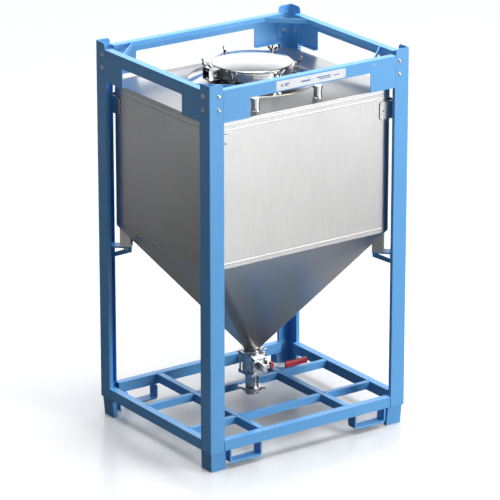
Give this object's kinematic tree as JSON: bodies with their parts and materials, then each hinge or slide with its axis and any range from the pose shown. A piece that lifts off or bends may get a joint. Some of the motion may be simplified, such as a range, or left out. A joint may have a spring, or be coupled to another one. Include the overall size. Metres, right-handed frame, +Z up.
{
  "type": "intermediate bulk container",
  "caption": "Rectangular stainless hopper tank with hinged round hatch and bottom ball valve, held in a tall blue stackable steel frame with fork guards.",
  "frame": {"origin": "on the floor under the middle of the frame", "axes": "+Z up, the type plate faces -Y, the length runs along X"},
  "size_m": [1.2128, 1.0128, 2],
  "materials": {
    "frame_paint": "light blue powder coat",
    "tank_steel": "ground stainless sheet",
    "polished_steel": "polished stainless steel",
    "valve_steel": "bead blasted and polished stainless castings",
    "fastener_steel": "bare stainless fasteners",
    "gasket": "white food grade rubber",
    "seat_seal": "white fluoropolymer",
    "red_grip": "red dipped vinyl",
    "plate_white": null
  },
  "bodies": {
    "container": {"post_front_left": "frame_paint", "post_front_right": "frame_paint", "post_rear_left": "frame_paint", "post_rear_right": "frame_paint", "foot_front_left": "frame_paint", "foot_front_right": "frame_paint", "foot_rear_left": "frame_paint", "foot_rear_right": "frame_paint", "top_rail_front": "frame_paint", "top_rail_rear": "frame_paint", "top_rail_left": "frame_paint", "top_rail_right": "frame_paint", "corner_braces": "frame_paint", "base_rail_front": "frame_paint", "base_rail_rear": "frame_paint", "base_rail_left": "frame_paint", "base_rail_right": "frame_paint", "long_members": "frame_paint", "cross_members": "frame_paint", "fork_guards": "frame_paint", "support_brackets": "frame_paint", "tank_shell": "tank_steel", "hopper": "tank_steel", "roof": "tank_steel", "corner_brackets": "tank_steel", "tank_legs": "tank_steel", "hatch_neck": "polished_steel", "hinge_bracket": "polished_steel", "hinge_pin": "polished_steel", "clevis_cheeks": "polished_steel", "pivot_pins": "polished_steel", "port_ferrules": "polished_steel", "port_caps": "polished_steel", "outlet_ferrule": "valve_steel", "valve_body": "valve_steel", "valve_end_plates": "valve_steel", "valve_bonnet": "valve_steel", "pipe_clamps": "valve_steel", "outlet_spigot": "valve_steel", "frame_bolts": "fastener_steel", "frame_nuts": "fastener_steel", "plate_rivets": "fastener_steel", "valve_bolts": "fastener_steel", "valve_seats": "seat_seal", "type_plate": "plate_white"},
    "hatch_lid": {"lid": "polished_steel", "lid_gasket": "gasket", "hinge_arm": "polished_steel", "lid_forks": "polished_steel"},
    "valve_handle": {"valve_ball": "valve_steel", "valve_stem": "valve_steel", "lever": "valve_steel", "lever_grip": "red_grip", "lever_collar": "red_grip"},
    "swing_1": {"swing_bolt_1": "fastener_steel"},
    "swing_2": {"swing_bolt_2": "fastener_steel"},
    "swing_3": {"swing_bolt_3": "fastener_steel"},
    "swing_4": {"swing_bolt_4": "fastener_steel"},
    "swing_5": {"swing_bolt_5": "fastener_steel"},
    "swing_6": {"swing_bolt_6": "fastener_steel"}
  },
  "joints": [
    {"name": "lid_hinge", "type": "hinge", "parent": "container", "child": "hatch_lid", "pos_m": [-0.262, 0, 1.905], "axis": [0, -1, 0], "range_deg": [0, 100]},
    {"name": "valve_turn", "type": "hinge", "parent": "container", "child": "valve_handle", "pos_m": [0, 0, 0.307], "axis": [0, 1, 0], "range_deg": [0, 90]},
    {"name": "swing_bolt_1_turn", "type": "hinge", "parent": "container", "child": "swing_1", "pos_m": [0.19572, 0.113, 1.864], "axis": [-0.5, 0.866, 0], "range_deg": [0, 80]},
    {"name": "swing_bolt_2_turn", "type": "hinge", "parent": "container", "child": "swing_2", "pos_m": [0, 0.226, 1.864], "axis": [-1, 0, 0], "range_deg": [0, 80]},
    {"name": "swing_bolt_3_turn", "type": "hinge", "parent": "container", "child": "swing_3", "pos_m": [-0.19572, 0.113, 1.864], "axis": [-0.5, -0.866, 0], "range_deg": [0, 80]},
    {"name": "swing_bolt_4_turn", "type": "hinge", "parent": "container", "child": "swing_4", "pos_m": [-0.19572, -0.113, 1.864], "axis": [0.5, -0.866, 0], "range_deg": [0, 80]},
    {"name": "swing_bolt_5_turn", "type": "hinge", "parent": "container", "child": "swing_5", "pos_m": [0, -0.226, 1.864], "axis": [1, 0, 0], "range_deg": [0, 80]},
    {"name": "swing_bolt_6_turn", "type": "hinge", "parent": "container", "child": "swing_6", "pos_m": [0.19572, -0.113, 1.864], "axis": [0.5, 0.866, 0], "range_deg": [0, 80]}
  ]
}
